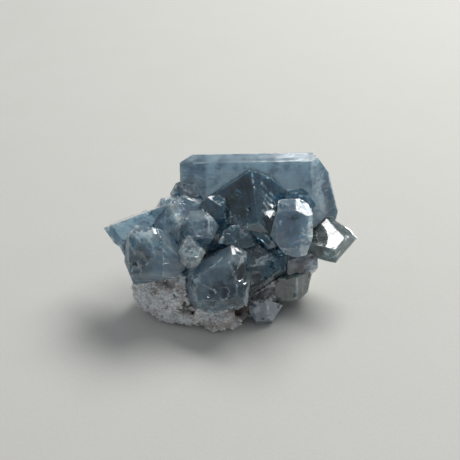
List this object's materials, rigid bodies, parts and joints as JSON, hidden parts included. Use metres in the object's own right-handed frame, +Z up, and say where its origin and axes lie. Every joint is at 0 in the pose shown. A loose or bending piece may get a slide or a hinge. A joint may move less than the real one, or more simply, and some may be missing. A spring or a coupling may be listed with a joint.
{
  "type": "celestite specimen",
  "caption": "Cluster of translucent blue-grey celestite crystals, stout blocks, wedges and a long back prism, grown together on a pale crumbly matrix that rests flat.",
  "frame": {"origin": "on the resting surface, under the middle of the specimen's bounding box", "axes": "+Z up, -Y towards the side that is looked at, +X along the long back crystal"},
  "size_m": [0.057, 0.0358, 0.0319],
  "materials": {
    "slate_crystal": "see-through slate-blue crystal, glossy with veils and fine growth lines",
    "deep_crystal": "see-through deep teal-blue crystal, glossy",
    "milky_crystal": "milky pale blue crystal, glossy with chipped edges",
    "olive_crystal": "grey-green to brownish see-through crystal, glossy",
    "mauve_crystal": "grey-mauve see-through crystal, glossy",
    "matrix": "pale pink-white crumbly grains with brown stains"
  },
  "bodies": {
    "root": {"front_block": "slate_crystal", "front_right_block": "deep_crystal", "right_milky": "milky_crystal", "right_plate": "olive_crystal", "left_front": "slate_crystal", "small_clear": "milky_crystal", "rounded_blue": "slate_crystal", "left_upper": "milky_crystal", "left_blade": "slate_crystal", "middle_wedge": "deep_crystal", "middle_teal": "deep_crystal", "lower_right_prism": "olive_crystal", "lower_mauve": "mauve_crystal", "right_small": "mauve_crystal", "centre_pyramid": "deep_crystal", "brown_stained": "olive_crystal", "back_right_step": "deep_crystal", "back_left_small": "mauve_crystal", "back_block": "slate_crystal", "matrix": "matrix"}
  },
  "joints": []
}
